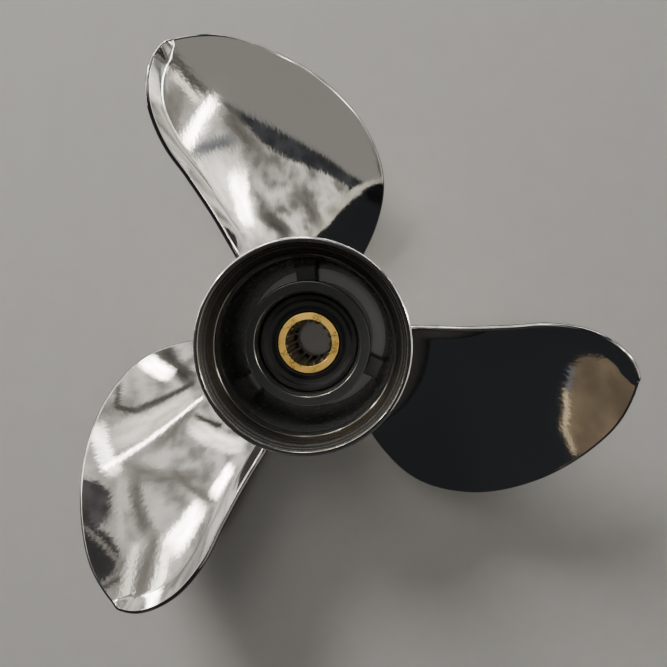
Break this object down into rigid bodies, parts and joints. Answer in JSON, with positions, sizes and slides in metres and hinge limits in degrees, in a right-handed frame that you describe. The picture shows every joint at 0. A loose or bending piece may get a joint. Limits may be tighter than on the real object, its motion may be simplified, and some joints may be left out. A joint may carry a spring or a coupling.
{
  "type": "outboard propeller with through-hub exhaust",
  "caption": "Right-handed marine outboard propeller with cupped blades, exhaust passages through its hub and a splined brass sleeve in a rubber bush.",
  "frame": {"origin": "on the shaft axis, in the plane of the barrel's front face, on which the propeller stands", "axes": "+Z along the shaft axis towards the flared aft end; +X and +Y are square to the shaft, with a blade tip between them and the next at each third of a turn"},
  "size_m": [0.3039, 0.306, 0.119],
  "materials": {
    "gloss_paint": "gloss",
    "turned_paint": "satin",
    "rubber": "matte",
    "brass": "satin"
  },
  "bodies": {
    "root": {"outer_barrel": "gloss_paint", "diffuser_ring": "turned_paint", "inner_hub": "gloss_paint", "rib_1": "gloss_paint", "rib_2": "gloss_paint", "rib_3": "gloss_paint", "blade_1": "gloss_paint", "blade_2": "gloss_paint", "blade_3": "gloss_paint", "rubber_bush": "rubber", "splined_sleeve": "brass"}
  },
  "joints": []
}
